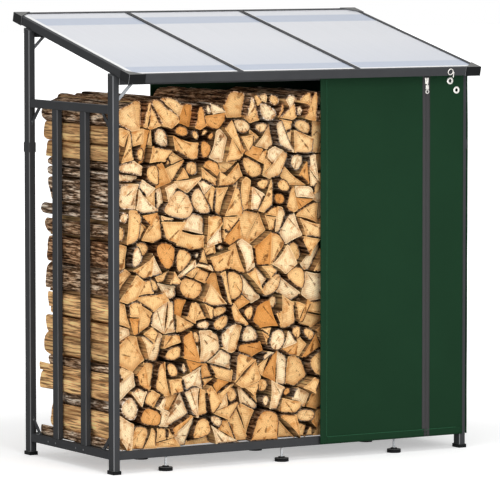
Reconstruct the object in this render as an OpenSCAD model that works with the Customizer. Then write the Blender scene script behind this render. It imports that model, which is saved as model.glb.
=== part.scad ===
// Log store: a steel tube frame with a sloping twin-wall roof, a part cover of cloth and stacked firewood.
// Millimetres, +Z up, the open front towards -Y. The origin is on the ground under the store's middle.

/* [Frame] */
// Width over the outer faces of the posts
frame_w = 1850; // [1400:10:2400]
// Depth over the outer faces of the posts
frame_d = 830; // [650:10:1100]
// Width of a post across the front
post_w = 32; // [26:1:44]
// Depth of a post from front to back
post_d = 50; // [40:1:70]
// Thickness of the rails and slats between the posts
rail_t = 25; // [18:1:30]
// Height of the rails
rail_h = 38; // [28:1:50]
// Height of the underside of the base rails
base_z = 62; // [50:1:90]
// How far the end frames' upper rails lie under the front beam
upper_drop = 90; // [60:1:300]
// Number of upright slats in each end frame
slat_count = 2; // [1:1:4]
// Width of a slat from front to back
slat_d = 50; // [30:1:60]

/* [Post fittings] */
// Height of the underside of the collars that join the two lengths of a post
collar_z = 1378; // [1100:1:1450]
// Height of a collar
collar_h = 44; // [30:1:60]
// Wall of a collar
collar_t = 1.5; // [1:0.5:3]
// Height of a plastic foot cap
foot_h = 17; // [12:1:30]
// Thickness of a foot cap under its post
foot_base = 4; // [2:0.5:6]
// Wall of a foot cap
foot_wall = 5; // [4:0.5:8]

/* [Braces] */
// Leg of the flat braces in the corners of the end frames
gusset_leg = 80; // [60:1:110]
// Width of those braces
gusset_w = 18; // [10:1:26]
// Leg of the knee braces under the top beams
knee_leg = 72; // [50:1:110]
// Width of a knee brace
knee_w = 14; // [8:1:22]
// Thickness of all the braces
brace_t = 5; // [3:0.5:8]

/* [Levelling feet] */
// Feet in a row
leg_count = 3; // [2:1:4]
// First foot of the front row, from the left outer face
front_leg_first = 275; // [150:5:400]
// Last foot of the front row, from the right outer face
front_leg_last = 375; // [150:5:400]
// First foot of the middle row, from the left outer face
middle_leg_first = 370; // [150:5:400]
// Last foot of the middle row, from the right outer face
middle_leg_last = 280; // [150:5:400]
// Diameter of the threaded rod
rod_d = 13; // [8:1:16]
// Diameter of the pad
pad_d = 64; // [40:1:80]
// Height of the pad
pad_h = 16; // [10:1:24]
// Diameter of the boss on the pad
pad_boss_d = 30; // [20:1:36]
// Height of the boss on the pad
pad_boss_h = 6; // [3:1:10]

/* [Roof] */
// Slope of the roof in degrees, falling to the front
roof_pitch = 13; // [8:0.5:18]
// Height of the upper front edge of the roof frame
roof_front_z = 1757; // [1740:1:1900]
// How far the roof stands out in front of the posts
front_overhang = 130; // [110:1:160]
// How far the roof stands out behind the posts
back_overhang = 112; // [100:1:160]
// Thickness of the roof frame's tubes
roof_tube_w = 20; // [16:1:26]
// Height of the roof frame's tubes
roof_tube_h = 38; // [30:1:46]
// How far the roof's side tubes lie inside the outer faces of the posts
roof_side_in = 12; // [0:1:14]
// Height of the beams between the tops of the posts
beam_h = 40; // [30:1:50]
// Thickness of those beams
beam_d = 20; // [16:1:26]
// Thickness of the twin-wall roof sheets
sheet_t = 6; // [4:1:10]
// How far the sheets lie below the top of the roof frame
sheet_sink = 3; // [1:0.5:6]
// Depth of the groove in the roof frame's tubes that holds the sheets
groove_d = 8; // [5:0.5:12]
// Room around a sheet in that groove
groove_play = 0.3; // [0.2:0.1:0.5]
// Room between a sheet and the web of a glazing bar
sheet_gap = 1; // [0.5:0.5:3]
// Width of the cover strip of a glazing bar
bar_w = 22; // [12:1:30]
// Height of the cover strip of a glazing bar
bar_top = 4; // [2:0.5:6]
// How far the glazing bars lie to the left of even shares of the roof
bar_left = 35; // [0:1:60]
// Web of a glazing bar
bar_web = 3; // [2:0.5:5]
// Width of the rafter below a glazing bar
rafter_w = 22; // [14:1:30]
// Height of that rafter
rafter_h = 18; // [10:1:28]

/* [Corner caps] */
// Reach of a roof corner cap along both edges
cap_reach = 80; // [60:1:95]
// Wall of a cap outside the tubes
cap_wall = 3; // [2:0.5:5]
// Thickness of a cap above the tubes
cap_top = 2.5; // [2:0.5:5]
// Thickness of a cap below the tubes
cap_drop = 3; // [2:0.5:8]

/* [Cover] */
// Thickness of the cover's solid
cloth_t = 2; // [1.5:0.5:3]
// Room between the cover and the collars
cloth_gap = 0.3; // [0.2:0.1:0.6]
// Width of the front panel
front_panel_w = 770; // [500:1:1000]
// Width of the back panel
back_panel_w = 1170; // [700:1:1250]
// How far the front and back panels stay short of the right outer face
panel_short = 20; // [5:1:30]
// Height of the cover's lower edge
cloth_z = 66; // [40:1:90]
// How far the cover's upper edge lies under the top of the beams
cloth_drop = 3; // [2:0.5:10]
// Right edge of the zip's tape, from the right outer face
zip_in = 204; // [150:1:300]
// Width of the zip's tape
zip_w = 40; // [30:1:50]
// Thickness of the zip's tape
zip_t = 1.5; // [1:0.5:3]
// Top of the zip's slider below the cover's upper edge
slider_drop = 36; // [20:1:80]
// Height of the slider's body
slider_h = 32; // [24:1:45]
// Width of the slider's body
slider_w = 16; // [12:1:22]
// Thickness of the slider's body
slider_t = 6; // [4:0.5:9]
// Length of the pull tab
pull_h = 42; // [30:1:60]
// Width of the pull tab
pull_w = 11; // [8:1:12]
// Thickness of the pull tab
pull_t = 2; // [1.5:0.5:3]

/* [Eyelets and ring] */
// Upper eyelet, from the right outer face
eyelet_in = 94; // [85:1:110]
// Upper eyelet below the cover's upper edge
eyelet_drop = 53; // [40:1:80]
// Lower eyelet to the right of the upper one
eyelet_step_x = 35; // [30:1:40]
// Lower eyelet below the upper one
eyelet_step_z = 43; // [38:1:80]
// Outer diameter of an eyelet
eyelet_d = 34; // [28:1:40]
// Hole of an eyelet
eyelet_hole = 15; // [10:1:18]
// Thickness of an eyelet
eyelet_t = 3; // [2:0.5:5]
// Hanging ring on the roof's front edge, from the right outer face
ring_in = 174; // [140:1:260]
// Diameter of the hanging ring at its wire's middle
ring_d = 26; // [18:1:30]
// Wire of the ring and of its link
wire_d = 4.4; // [3:0.2:5]
// Bead at the bend of the link
bead_d = 6; // [5.5:0.5:8]

/* [Firewood] */
// How far the stack runs on behind the front panel
stack_tuck = 110; // [40:1:150]
// Free height between the stack and the front beam
stack_headroom = 63; // [60:1:400]
// How far the longest logs end in front of the posts' back faces
log_back_gap = 66; // [60:1:300]
// How much shorter than that the shortest log is
log_spread = 115; // [20:1:150]
// How far the front ends lie behind the posts' front, at most
log_setback = 62; // [12:1:90]
// Courses in one layer of the stack
layer_courses = 2; // [1:1:3]
// Usual width of an unsplit round
usual_round_w = 108; // [90:1:160]
// Room left between neighbouring logs
log_gap = 0.6; // [0.4:0.1:0.9]
// Slivers of a smaller area than a square of this width are left out
sliver_w = 24; // [20:1:30]
// Draw of the random shapes
log_seed = 41; // [1:1:99]

/* [Hidden] */
LAYERS = 6;
SHEETS = 3;
$fn = 48;
// A cutter stands this far out of what it cuts
cut_over = 1;

steel = "#34373a";
galvanised = "#b4b7b9";
black_plastic = "#1c1d1f";
nickel = "#d0d2d4";
sheet_colour = "#dfe3ea";
cloth_colour = "#213d2b";
tape_colour = "#4a4648";
wood_colour = "#d8ad72";

// Roof: its local frame starts at the upper front edge of the tubes, Y up the slope, Z square to it
roof_w = frame_w - 2 * roof_side_in;
roof_len = (frame_d + front_overhang + back_overhang) / cos(roof_pitch);
roof_under = roof_tube_h + cap_drop;
roof_y_low = -cap_wall * cos(roof_pitch) - cap_top * sin(roof_pitch);
roof_y_high = (roof_len + cap_wall) * cos(roof_pitch) + roof_under * sin(roof_pitch);
roof_y = -(roof_y_low + roof_y_high) / 2;

// Frame
left_x = -frame_w / 2;
right_x = frame_w / 2;
front_y = roof_y + front_overhang;
back_y = front_y + frame_d;
base_top = base_z + rail_h;
rail_in = (post_w - rail_t) / 2;
inner_w = frame_w - 2 * post_w;
inner_d = frame_d - 2 * post_d;
post_bottom = foot_base;
collar_out = collar_t + cloth_gap;

// Underside of the roof tubes above a place from front to back
function roof_under_z(y) = roof_front_z + (y - roof_y) * tan(roof_pitch) - roof_tube_h / cos(roof_pitch);

beam_front_top = roof_under_z(front_y);
beam_back_top = roof_under_z(back_y - beam_d);
upper_z = beam_front_top - beam_h - upper_drop - rail_h;

// Cover
cover_front_y = front_y - collar_out;
cover_back_y = back_y + collar_out;
cover_front_top = beam_front_top - cloth_drop;
cover_back_top = beam_back_top - cloth_drop;
panel_right_x = right_x - panel_short;
zip_x = right_x - zip_in - zip_w;
zip_front_y = cover_front_y - cloth_t - zip_t;
slider_top = cover_front_top - slider_drop;
eyelet_z = cover_front_top - eyelet_drop;
eyelet_face_y = cover_front_y - cloth_t - eyelet_t;
eyelet_x = right_x - eyelet_in;
eyelets = [[eyelet_x, eyelet_z], [eyelet_x + eyelet_step_x, eyelet_z - eyelet_step_z]];

// Flat corner brace across a right angle at the origin, from the first axis to the second
module corner_brace(leg, width) {
    reach = width * sqrt(2);
    linear_extrude(brace_t, center = true)
        polygon([[0, leg - reach], [leg - reach, 0], [leg, 0], [0, leg]]);
}

// Frame modules
module post(x, y) {
    color(steel)
        translate([x, y, 0])
        rotate([90, 0, 90])
        linear_extrude(post_w)
        polygon([
            [0, post_bottom],
            [post_d, post_bottom],
            [post_d, roof_under_z(y + post_d)],
            [0, roof_under_z(y)]
        ]);
}

post_places = [
    [right_x - post_w, front_y],
    [left_x, back_y - post_d],
    [right_x - post_w, back_y - post_d],
    [left_x, front_y]
];
module at_posts(count = 4) {
    for (i = [0:count - 1])
        translate([post_places[i][0], post_places[i][1], 0])
            children();
}

module post_front_left() post(left_x, front_y);
module post_front_right() post(right_x - post_w, front_y);
module post_back_left() post(left_x, back_y - post_d);
module post_back_right() post(right_x - post_w, back_y - post_d);

// The front left post is in one length and has no collar
module post_collars() {
    color(steel)
        at_posts(3)
        translate([0, 0, collar_z])
        linear_extrude(collar_h)
        difference() {
            translate([-collar_t, -collar_t])
                square([post_w + 2 * collar_t, post_d + 2 * collar_t]);
            square([post_w, post_d]);
        }
}

module post_feet() {
    color(black_plastic)
        at_posts()
        difference() {
            translate([-foot_wall, -foot_wall, 0])
                cube([post_w + 2 * foot_wall, post_d + 2 * foot_wall, foot_h]);
            translate([0, 0, foot_base])
                cube([post_w, post_d, foot_h]);
        }
}

module cross_rail(y, z, x_from, x_to) {
    color(steel)
        translate([x_from, y, z])
        cube([x_to - x_from, rail_t, rail_h]);
}

module end_rail(x, z) {
    color(steel)
        translate([x + rail_in, front_y + post_d, z])
        cube([rail_t, inner_d, rail_h]);
}

post_mid = (post_d - rail_t) / 2;
module base_rail_front() cross_rail(front_y + post_mid, base_z, left_x + post_w, right_x - post_w);
module base_rail_back() cross_rail(back_y - post_mid - rail_t, base_z, left_x + post_w, right_x - post_w);
module base_rail_left() end_rail(left_x, base_z);
module base_rail_right() end_rail(right_x - post_w, base_z);
module base_rail_middle() cross_rail(
    front_y + (frame_d - rail_t) / 2, base_z, left_x + rail_in + rail_t, right_x - rail_in - rail_t);
module upper_rail_left() end_rail(left_x, upper_z);
module upper_rail_right() end_rail(right_x - post_w, upper_z);

slat_space = (inner_d - slat_count * slat_d) / (slat_count + 1);
module slats(x) {
    color(steel)
        for (i = [0:slat_count - 1])
            translate([x + rail_in, front_y + post_d + slat_space + i * (slat_d + slat_space), base_top])
                cube([rail_t, slat_d, upper_z - base_top]);
}
module slats_left() slats(left_x);
module slats_right() slats(right_x - post_w);

// Four flat braces in the corners of an end frame
module gussets(x) {
    color(steel)
        translate([x + post_w / 2, front_y + frame_d / 2, 0])
        for (front = [0, 1])
            mirror([0, front, 0])
            translate([0, -inner_d / 2, 0]) {
                translate([0, 0, base_top])
                    rotate([90, 0, 90])
                    corner_brace(gusset_leg, gusset_w);
                translate([0, 0, upper_z])
                    mirror([0, 0, 1])
                    rotate([90, 0, 90])
                    corner_brace(gusset_leg, gusset_w);
            }
}
module gussets_left() gussets(left_x);
module gussets_right() gussets(right_x - post_w);

module beam(y, top) {
    color(steel)
        translate([left_x + post_w, y, top - beam_h])
        cube([inner_w, beam_d, beam_h]);
}
module beam_front() beam(front_y, beam_front_top);
module beam_back() beam(back_y - beam_d, beam_back_top);

module knee_braces() {
    color(galvanised)
        for (side = [0, 1])
            mirror([side, 0, 0])
            for (place = [[front_y, beam_front_top], [back_y - beam_d, beam_back_top]])
                translate([left_x + post_w, place[0] + beam_d / 2, place[1] - beam_h])
                    mirror([0, 0, 1])
                    rotate([90, 0, 0])
                    corner_brace(knee_leg, knee_w);
}

// Levelling feet under the front and middle base rails
leg_rows = [
    [front_leg_first, front_leg_last, front_y + post_d / 2],
    [middle_leg_first, middle_leg_last, front_y + frame_d / 2]
];
function leg_x(row, i) = left_x + row[0] + i * (frame_w - row[0] - row[1]) / (leg_count - 1);
module at_legs() {
    for (row = leg_rows, i = [0:leg_count - 1])
        translate([leg_x(row, i), row[2], 0])
            children();
}

module leveller_rods() {
    color(galvanised)
        at_legs()
        translate([0, 0, pad_h + pad_boss_h])
        cylinder(d = rod_d, h = base_z - pad_h - pad_boss_h);
}

module leveller_pads() {
    color(black_plastic)
        at_legs() {
            cylinder(d = pad_d, h = pad_h);
            cylinder(d = pad_boss_d, h = pad_h + pad_boss_h);
        }
}

// Roof modules, drawn in the roof's own sloping frame
module on_roof() {
    translate([0, roof_y, roof_front_z])
        rotate([roof_pitch, 0, 0])
        children();
}

// Groove all round the inside of the roof frame, for the edges of the sheets
sheet_low = -sheet_sink - sheet_t;
groove_in = roof_tube_w - groove_d;
module sheet_groove() {
    translate([-roof_w / 2 + groove_in, groove_in, sheet_low - groove_play])
        cube([roof_w - 2 * groove_in, roof_len - 2 * groove_in, sheet_t + 2 * groove_play]);
}

module roof_cross_tube(y) {
    color(steel)
        on_roof()
        difference() {
            translate([-roof_w / 2 + roof_tube_w, y, -roof_tube_h])
                cube([roof_w - 2 * roof_tube_w, roof_tube_w, roof_tube_h]);
            sheet_groove();
        }
}
module roof_tube_front() roof_cross_tube(0);
module roof_tube_back() roof_cross_tube(roof_len - roof_tube_w);

module roof_side_tube(x) {
    color(steel)
        on_roof()
        difference() {
            translate([x, 0, -roof_tube_h])
                cube([roof_tube_w, roof_len, roof_tube_h]);
            sheet_groove();
        }
}
module roof_tube_left() roof_side_tube(-roof_w / 2);
module roof_tube_right() roof_side_tube(roof_w / 2 - roof_tube_w);

// Sheets and glazing bars: the sheets lie in the groove and on the rafters, each bar clamps two of them
bar_pitch = roof_w / SHEETS;
function bar_x(i) = -roof_w / 2 + i * bar_pitch - bar_left;

module glazing_bars() {
    bar_run = roof_len - 2 * roof_tube_w;
    color(steel)
        on_roof()
        for (i = [1:SHEETS - 1])
            translate([bar_x(i), roof_tube_w, sheet_low]) {
                translate([-rafter_w / 2, 0, -rafter_h])
                    cube([rafter_w, bar_run, rafter_h]);
                translate([-bar_web / 2, 0, -rafter_h])
                    cube([bar_web, bar_run, rafter_h + sheet_t + bar_top]);
                translate([-bar_w / 2, 0, sheet_t])
                    cube([bar_w, bar_run, bar_top]);
            }
}

module roof_sheet(i) {
    edge = groove_in + groove_play;
    x_from = i == 0 ? -roof_w / 2 + edge : bar_x(i) + bar_web / 2 + sheet_gap;
    x_to = i == SHEETS - 1 ? roof_w / 2 - edge : bar_x(i + 1) - bar_web / 2 - sheet_gap;
    color(sheet_colour)
        on_roof()
        translate([x_from, edge, sheet_low])
        cube([x_to - x_from, roof_len - 2 * edge, sheet_t]);
}
module roof_sheet_left() roof_sheet(0);
module roof_sheet_middle() roof_sheet(1);
module roof_sheet_right() roof_sheet(2);

// Corner cap at the origin: two walls and a three-cornered plate above and below
module corner_cap() {
    plate = [[-cap_wall, -cap_wall], [cap_reach, -cap_wall], [-cap_wall, cap_reach]];
    linear_extrude(cap_top)
        polygon(plate);
    translate([0, 0, -roof_under])
        linear_extrude(cap_drop)
        polygon(plate);
    translate([-cap_wall, -cap_wall, -roof_under]) {
        cube([cap_wall, cap_reach + cap_wall, roof_under + cap_top]);
        cube([cap_reach + cap_wall, cap_wall, roof_under + cap_top]);
    }
}

module roof_corner_caps() {
    color(black_plastic)
        on_roof()
        translate([0, roof_len / 2, 0])
        for (side = [0, 1], end = [0, 1])
            mirror([side, 0, 0])
            mirror([0, end, 0])
            translate([-roof_w / 2, -roof_len / 2, 0])
            corner_cap();
}

// Cover modules
module cover_front() {
    color(cloth_colour)
        difference() {
            translate([panel_right_x - front_panel_w, cover_front_y - cloth_t, cloth_z])
                cube([front_panel_w, cloth_t, cover_front_top - cloth_z]);
            for (place = eyelets)
                translate([place[0], cover_front_y, place[1]])
                    rotate([90, 0, 0])
                    translate([0, 0, -cut_over])
                    cylinder(d = eyelet_hole, h = cloth_t + 2 * cut_over);
        }
}

module cover_back() {
    color(cloth_colour)
        translate([panel_right_x - back_panel_w, cover_back_y, cloth_z])
        cube([back_panel_w, cloth_t, cover_back_top - cloth_z]);
}

module cover_side() {
    color(cloth_colour)
        translate([right_x + collar_out, 0, 0])
        rotate([90, 0, 90])
        linear_extrude(cloth_t)
        polygon([
            [front_y, cloth_z],
            [back_y, cloth_z],
            [back_y, roof_under_z(back_y) - cloth_drop],
            [front_y, roof_under_z(front_y) - cloth_drop]
        ]);
}

module cover_zip() {
    color(tape_colour)
        translate([zip_x, zip_front_y, cloth_z])
        cube([zip_w, zip_t, cover_front_top - cloth_z]);
}

module zip_slider() {
    color(nickel)
        translate([zip_x + zip_w / 2, zip_front_y, slider_top]) {
            translate([-slider_w / 2, -slider_t, -slider_h])
                cube([slider_w, slider_t, slider_h]);
            translate([-pull_w / 2, -(slider_t + pull_t) / 2, -slider_h - pull_h])
                cube([pull_w, pull_t, pull_h + slider_h / 2]);
        }
}

module cover_eyelets() {
    color(nickel)
        for (place = eyelets)
            translate([place[0], eyelet_face_y + eyelet_t, place[1]])
                rotate([90, 0, 0])
                difference() {
                    cylinder(d = eyelet_d, h = eyelet_t);
                    translate([0, 0, -cut_over])
                        cylinder(d = eyelet_hole, h = eyelet_t + 2 * cut_over);
                }
}

// Hanging ring: flat against the roof's front tube, its middle at half the tube's height
ring_off = wire_d / 2 + cloth_gap;
ring_x = right_x - ring_in;
module hanging_ring() {
    color(nickel)
        on_roof()
        translate([ring_x, -ring_off, -roof_tube_h / 2])
        rotate([90, 0, 0])
        rotate_extrude()
        translate([ring_d / 2, 0])
        circle(d = wire_d);
}

// A point of the roof's own frame, in the store's frame
function roof_point(x, y, z) = [
    x,
    roof_y + y * cos(roof_pitch) - z * sin(roof_pitch),
    roof_front_z + y * sin(roof_pitch) + z * cos(roof_pitch)
];

// Link: a wire from beside the ring, down past the tube's lower edge and back to the top of the upper eyelet
link_x = ring_x + ring_d / 2 + wire_d + cloth_gap;
link_start = roof_point(link_x, -ring_off, -roof_tube_h / 2);
link_bend = roof_point(link_x, -ring_off, -roof_tube_h - wire_d);
link_end = [eyelet_x, eyelet_face_y - wire_d / 2 - cloth_gap, eyelet_z + (eyelet_d - wire_d) / 2];

module wire(from, to) {
    run = to - from;
    translate(from)
        rotate([0, acos(run[2] / norm(run)), atan2(run[1], run[0])])
        cylinder(d = wire_d, h = norm(run));
}

module ring_link() {
    color(nickel) {
        wire(link_start, link_bend);
        translate(link_bend)
            sphere(d = bead_d);
        wire(link_bend, link_end);
    }
}

// Firewood: the stack's face is shared out between scattered middles, and most of the shares are split
courses = LAYERS * layer_courses;
stack_x = left_x + post_w + log_gap;
stack_z = base_top + log_gap;
stack_w = panel_right_x - front_panel_w + stack_tuck - stack_x;
stack_h = beam_front_top - beam_h - stack_headroom - stack_z;
log_len = frame_d - log_back_gap;
course_h = stack_h / courses;
course_rounds = max(1, round(stack_w / usual_round_w));
round_w = stack_w / course_rounds;

// Seeds of the draws, and of the places in the stack, lie this far apart
seed_draw = 1000;
seed_row = 37;
seed_first = 114;
// How far a round's middle may stray, and how its weight may differ, as shares of its width
stray = 0.3;
weight_spread = 0.16;
// Place of the first round of an even course, in rounds
first_round = 0.25;
// Shares of the rounds that stay whole, and that stay whole or in halves
whole_share = 0.1;
halves_share = 0.5;
// Least and greatest angle between the two cuts of a half and its quarters
quarter_angles = [70, 110];
// Least distance of a front end behind the posts' front
least_setback = 3;
// Rounds and courses away that can still touch a round
touch_reach = 2;

// One number from a to b for a place in the stack, always the same for the same draw
function chance(a, b, row, col, draw) =
    rands(a, b, 1, log_seed + seed_first + seed_draw * draw + seed_row * row + col)[0];

// Middle of the round at a place, with the courses half a round apart
function round_mid(row, col) = [
    stack_x + (col + first_round + 0.5 * (row % 2) + chance(-stray, stray, row, col, 1)) * round_w,
    stack_z + (row + 0.5 + chance(-stray, stray, row, col, 2)) * course_h
];
function round_weight(row, col) = chance(-weight_spread, weight_spread, row, col, 3) * round_w * round_w;

// The part of a convex outline where n * p <= c
function clip(outline, n, c) = [
    for (i = [0:1:len(outline) - 1])
        let (
            p = outline[i],
            q = outline[(i + 1) % len(outline)],
            p_in = n * p <= c,
            q_in = n * q <= c
        )
        each concat(p_in ? [p] : [], p_in != q_in ? [p + (q - p) * ((c - n * p) / (n * (q - p)))] : [])
];

// Outline clipped against every neighbour in a list of [middle, weight]
function clip_all(outline, mid, weight, others, i = 0) =
    i >= len(others) || len(outline) < 3 ? outline :
    let (
        n = others[i][0] - mid,
        c = (others[i][0] * others[i][0] - others[i][1] - mid * mid + weight) / 2
    )
    clip_all(clip(outline, n, c - log_gap / 2 * norm(n)), mid, weight, others, i + 1);

function neighbours(row, col) = [
    for (r = [row - touch_reach:row + touch_reach], c = [col - touch_reach:col + touch_reach])
        if ((r != row || c != col) && r >= 0 && c >= 0)
            [round_mid(r, c), round_weight(r, c)]
];

function round_outline(row, col) =
    let (
        mid = round_mid(row, col),
        low = [stack_x, stack_z],
        high = [stack_x + stack_w + round_w, stack_z + stack_h + course_h],
        face = [low, [high[0], low[1]], high, [low[0], high[1]]]
    )
    clip_all(face, mid, round_weight(row, col), neighbours(row, col));

// An outline cut in two along a line through a point
function split(outline, point, angle) =
    let (n = [cos(angle), sin(angle)])
    [clip(outline, n, n * point - log_gap / 2), clip(outline, -n, -n * point - log_gap / 2)];

// The logs of one round: whole, halves, or a half and two quarters
function logs(row, col) =
    let (
        outline = round_outline(row, col),
        middle = round_mid(row, col),
        angle = chance(0, 180, row, col, 4),
        kind = chance(0, 1, row, col, 5),
        halves = split(outline, middle, angle)
    )
    kind < whole_share ? [outline] :
    kind < halves_share ? halves :
    concat(
        [halves[0]],
        split(halves[1], middle, angle + chance(quarter_angles[0], quarter_angles[1], row, col, 6))
    );

function outline_area(p) = 0.5 * abs([
    for (i = [0:1:len(p) - 1])
        let (q = p[(i + 1) % len(p)])
        p[i][0] * q[1] - q[0] * p[i][1]
] * [for (i = [0:1:len(p) - 1]) 1]);

module firewood_layer(layer) {
    color(wood_colour)
        for (row = [(layer - 1) * layer_courses:layer * layer_courses - 1], col = [0:course_rounds - 1])
            let (pieces = logs(row, col))
            for (i = [0:len(pieces) - 1])
                if (len(pieces[i]) > 2 && outline_area(pieces[i]) > sliver_w * sliver_w)
                    let (
                        near = front_y + chance(least_setback, log_setback, row, col, 7 + i),
                        far = front_y + log_len - chance(0, log_spread, row, col, 11 + i)
                    )
                    translate([0, far, 0])
                        rotate([90, 0, 0])
                        linear_extrude(far - near)
                        polygon(pieces[i]);
}
module firewood_layer_1() firewood_layer(1);
module firewood_layer_2() firewood_layer(2);
module firewood_layer_3() firewood_layer(3);
module firewood_layer_4() firewood_layer(4);
module firewood_layer_5() firewood_layer(5);
module firewood_layer_6() firewood_layer(6);

post_front_left();
post_front_right();
post_back_left();
post_back_right();
post_collars();
post_feet();
base_rail_front();
base_rail_back();
base_rail_left();
base_rail_right();
base_rail_middle();
upper_rail_left();
upper_rail_right();
slats_left();
slats_right();
gussets_left();
gussets_right();
beam_front();
beam_back();
knee_braces();
leveller_rods();
leveller_pads();
roof_tube_front();
roof_tube_back();
roof_tube_left();
roof_tube_right();
glazing_bars();
roof_sheet_left();
roof_sheet_middle();
roof_sheet_right();
roof_corner_caps();
cover_front();
cover_side();
cover_back();
cover_zip();
zip_slider();
cover_eyelets();
hanging_ring();
ring_link();
firewood_layer_1();
firewood_layer_2();
firewood_layer_3();
firewood_layer_4();
firewood_layer_5();
firewood_layer_6();
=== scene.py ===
import math
import random

import bmesh
import bpy
from bpy.props import FloatProperty, FloatVectorProperty, IntProperty, PointerProperty
from mathutils import Matrix, Vector, noise


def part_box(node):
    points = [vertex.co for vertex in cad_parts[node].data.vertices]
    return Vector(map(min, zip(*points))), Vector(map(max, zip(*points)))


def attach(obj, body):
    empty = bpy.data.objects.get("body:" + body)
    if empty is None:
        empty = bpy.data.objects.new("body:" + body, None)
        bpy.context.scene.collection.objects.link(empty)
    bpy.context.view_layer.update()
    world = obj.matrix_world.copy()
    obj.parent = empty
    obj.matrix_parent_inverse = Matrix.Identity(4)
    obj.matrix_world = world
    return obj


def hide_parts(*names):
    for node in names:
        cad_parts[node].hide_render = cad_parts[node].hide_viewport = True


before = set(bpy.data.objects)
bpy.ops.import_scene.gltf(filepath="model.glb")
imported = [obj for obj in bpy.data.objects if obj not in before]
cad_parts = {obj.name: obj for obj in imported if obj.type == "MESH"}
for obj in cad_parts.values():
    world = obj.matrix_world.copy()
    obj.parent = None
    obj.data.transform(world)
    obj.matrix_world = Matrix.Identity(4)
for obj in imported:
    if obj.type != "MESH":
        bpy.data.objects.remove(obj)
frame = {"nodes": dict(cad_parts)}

bl_info = {
    "name": "Log store",
    "version": (1, 0, 0),
    "blender": (4, 5, 0),
    "location": "View3D > Sidebar > Log store",
    "description": "Dresses a covered log store: finishes, roof sheets, cover, fasteners and firewood",
    "category": "Object",
}

MM = 0.001
UP = Vector((0, 0, 1))
WHITE = (1.0, 1.0, 1.0)
NODES = frame["nodes"]
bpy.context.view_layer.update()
LEFT, RIGHT = Vector((-1, 0, 0)), Vector((1, 0, 0))
FRONT, BACK = Vector((0, -1, 0)), Vector((0, 1, 0))
# Points closer than this are one
TOUCH = 0.01 * MM
# Stitching stands this far inside an edge
SEAM = 3 * MM
# Ambient light of the studio, against 1 where its white shows
ROOM_LIGHT = 0.42

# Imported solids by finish
TUBE_NODES = [name for name in NODES if name.startswith(
    ("post_front", "post_back", "base_rail", "upper_rail", "slats", "beam"))]
STRIP_NODES = [name for name in NODES if name.startswith(("gussets", "glazing_bars", "roof_tube"))]
MOULDED_NODES = ["post_feet", "leveller_pads", "roof_corner_caps"]
SHEET_NODES = ["roof_sheet_left", "roof_sheet_middle", "roof_sheet_right"]
LAYER_NODES = sorted(name for name in NODES if name.startswith("firewood_layer"))


def linear(hex_colour):
    """Linear RGB of an sRGB colour written as six hex digits."""
    channels = [int(hex_colour[i:i + 2], 16) / 255 for i in (0, 2, 4)]
    return [c / 12.92 if c <= 0.04045 else ((c + 0.055) / 1.055) ** 2.4 for c in channels]


def colour_of(name, description, hex_colour):
    """A colour property that starts at a hex colour."""
    return FloatVectorProperty(name=name, description=description, subtype="COLOR", size=3,
                               min=0.0, max=1.0, default=linear(hex_colour))


def length_of(name, description, millimetres):
    """A length property that starts at a size in millimetres."""
    return FloatProperty(name=name, description=description, default=millimetres * MM,
                         min=0.0, unit="LENGTH", precision=4)


class FrameSettings(bpy.types.PropertyGroup):
    """Finish and small fittings of the steel frame."""
    steel: colour_of("Steel", "Powder coat on the tubes", "404143")
    # Colour of the painted highlight on the upright corners of the tubes and roof caps
    worn: colour_of("Worn steel", "Thin coat on upright corners", "8E8F91")
    plastic: colour_of("Plastic", "Moulded caps and foot pads", "1B1C1D")
    zinc: colour_of("Zinc", "Galvanised braces", "9A9DA0")
    rod: colour_of("Rod", "Bright plate on the threaded rods", "D4D6D8")
    tube_radius: length_of("Tube radius", "Corner radius of the rolled tubes", 4.0)
    slat_radius: length_of("Slat radius", "Corner radius of the end frames' slats", 2.0)
    strip_radius: length_of("Strip radius", "Edge radius of flat strips and bars", 1.2)
    cap_radius: length_of("Cap radius", "Edge radius of the moulded caps", 3.5)
    bolt_head: length_of("Bolt head", "Width of a bolt's domed head", 13.0)
    bolt_rise: length_of("Bolt rise", "Height of a bolt's domed head", 4.0)
    bolt_inset: length_of("Bolt inset", "From a brace's end to its bolt", 15.0)
    bolt_pair: length_of("Bolt pair", "Spacing of the two bolts below a slat", 70.0)
    thread_pitch: length_of("Thread pitch", "Pitch of the levelling rods, drawn coarse so that it shows", 3.0)


class RoofSettings(bpy.types.PropertyGroup):
    """Twin-wall roof sheets."""
    sheet: colour_of("Sheet", "Clear sheet with a faint blue cast", "E4E6EC")
    shaded: colour_of("Shaded sheet", "Sheet over the beams", "BCC6D9")
    shade_width: length_of("Shade width", "Reach of the shade in front of the back beam", 105.0)
    rim: length_of("Rim", "Width of the bright rim along the left and front edges", 32.0)
    flute: length_of("Flute", "Spacing of the ribs between the two walls", 10.0)
    wall: length_of("Wall", "Thickness of each wall and rib", 0.7)


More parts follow.
